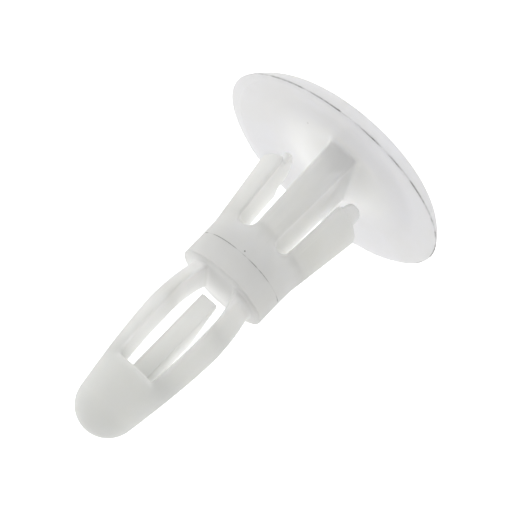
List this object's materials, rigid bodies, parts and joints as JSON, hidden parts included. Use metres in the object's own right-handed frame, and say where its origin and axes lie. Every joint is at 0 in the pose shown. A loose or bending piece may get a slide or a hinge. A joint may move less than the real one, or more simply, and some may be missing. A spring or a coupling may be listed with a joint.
{
  "type": "snap-in panel support",
  "caption": "One-piece nylon snap-in panel support with a thin umbrella head, two snap wings, a collar with a board seat and a springy looped bulb nose.",
  "frame": {"origin": "centre of the flat crown of the head, on which the part can stand", "axes": "+Z along the part's axis from the head to the nose, X through the two wings and the two legs, -Y towards the open side of the bulb"},
  "size_m": [0.0136, 0.0136, 0.0198],
  "materials": {
    "natural_nylon": "satin, slightly translucent natural nylon"
  },
  "bodies": {
    "core": {"head_disc": "natural_nylon", "stem_web": "natural_nylon", "slotted_sleeve": "natural_nylon", "collar": "natural_nylon", "nose": "natural_nylon"},
    "wing_right": {"wing_right": "natural_nylon", "wing_tooth_right": "natural_nylon"},
    "wing_left": {"wing_left": "natural_nylon", "wing_tooth_left": "natural_nylon"},
    "leg_right_lower": {"leg_lower_right": "natural_nylon"},
    "leg_right_upper": {"leg_upper_right": "natural_nylon"},
    "leg_left_lower": {"leg_lower_left": "natural_nylon"},
    "leg_left_upper": {"leg_upper_left": "natural_nylon"},
    "finger": {"finger": "natural_nylon"}
  },
  "joints": [
    {"name": "wing_right_flex", "type": "hinge", "parent": "core", "child": "wing_right", "pos_m": [0.00153, 0, 0.00687], "axis": [0, 1, 0], "range_deg": [0, 9], "stiffness_Nm_per_rad": 0.5},
    {"name": "wing_left_flex", "type": "hinge", "parent": "core", "child": "wing_left", "pos_m": [-0.00153, 0, 0.00687], "axis": [0, -1, 0], "range_deg": [0, 9], "stiffness_Nm_per_rad": 0.5},
    {"name": "leg_right_root", "type": "hinge", "parent": "core", "child": "leg_right_lower", "pos_m": [0.00195, 0, 0.01], "axis": [0, -1, 0], "range_deg": [0, 8], "stiffness_Nm_per_rad": 0.002},
    {"name": "leg_right_belly", "type": "hinge", "parent": "leg_right_lower", "child": "leg_right_upper", "pos_m": [0.00228, 0, 0.01234], "axis": [0, 1, 0], "range_deg": [0, 13], "stiffness_Nm_per_rad": 0.001},
    {"name": "leg_left_root", "type": "hinge", "parent": "core", "child": "leg_left_lower", "pos_m": [-0.00195, 0, 0.01], "axis": [0, 1, 0], "range_deg": [0, 8], "stiffness_Nm_per_rad": 0.002},
    {"name": "leg_left_belly", "type": "hinge", "parent": "leg_left_lower", "child": "leg_left_upper", "pos_m": [-0.00228, 0, 0.01234], "axis": [0, -1, 0], "range_deg": [0, 13], "stiffness_Nm_per_rad": 0.001},
    {"name": "finger_flex", "type": "hinge", "parent": "core", "child": "finger", "pos_m": [0, 0.0002, 0.01625], "axis": [-1, 0, 0], "range_deg": [0, 6], "stiffness_Nm_per_rad": 0.1}
  ],
  "couplings": [
    {"joint": "leg_right_belly", "follows": "leg_right_root", "ratio": 1.6},
    {"joint": "leg_left_belly", "follows": "leg_left_root", "ratio": 1.6}
  ]
}
